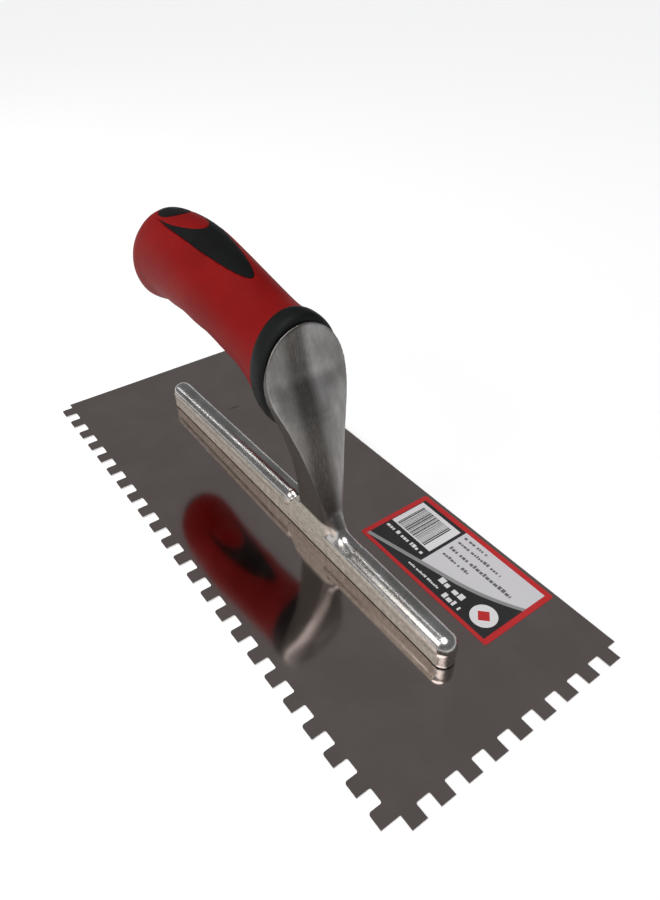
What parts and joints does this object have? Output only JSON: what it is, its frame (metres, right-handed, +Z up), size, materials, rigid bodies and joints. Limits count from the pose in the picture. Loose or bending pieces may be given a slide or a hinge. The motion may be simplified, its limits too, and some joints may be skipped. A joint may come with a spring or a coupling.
{
  "type": "notched trowel",
  "caption": "Square-notch tiling trowel: thin steel blade notched along a long and a short edge, cast mounting bar and shank, soft-grip handle.",
  "frame": {"origin": "centre of the blade's underside", "axes": "+X along the blade towards the free nose of the mounting bar, +Y across the blade towards its plain long edge, +Z up from the blade to the handle"},
  "size_m": [0.2794, 0.1142, 0.1153],
  "materials": {
    "blade_steel": "rolled stainless sheet, semi-mirror, faint rolling grain, bright sheared edges",
    "cast_aluminium": "die-cast aluminium, polished beads and brushed shank, speckled ground web",
    "rivet_steel": "plain steel rivets, ground flush",
    "core_plastic": "black moulded nylon",
    "collar_plastic": "black moulded plastic, fine matt texture",
    "red_grip": "red soft-touch overmould, fine matt grain",
    "black_grip": "black soft-touch inlay, pebbled texture",
    "screw_steel": "zinc-plated steel",
    "label_film": "printed gloss film with a red border"
  },
  "bodies": {
    "root": {"blade": "blade_steel", "mounting": "cast_aluminium", "blade_rivet_1": "rivet_steel", "blade_rivet_2": "rivet_steel", "blade_rivet_3": "rivet_steel", "blade_rivet_4": "rivet_steel", "blade_rivet_5": "rivet_steel", "blade_rivet_6": "rivet_steel", "blade_rivet_7": "rivet_steel", "blade_rivet_8": "rivet_steel", "handle_core": "core_plastic", "front_collar": "collar_plastic", "grip_sleeve": "red_grip", "palm_inlay": "black_grip", "rear_inlay": "black_grip", "butt_cap": "collar_plastic", "retaining_screw": "screw_steel", "screw_washer": "screw_steel", "label": "label_film"}
  },
  "joints": []
}
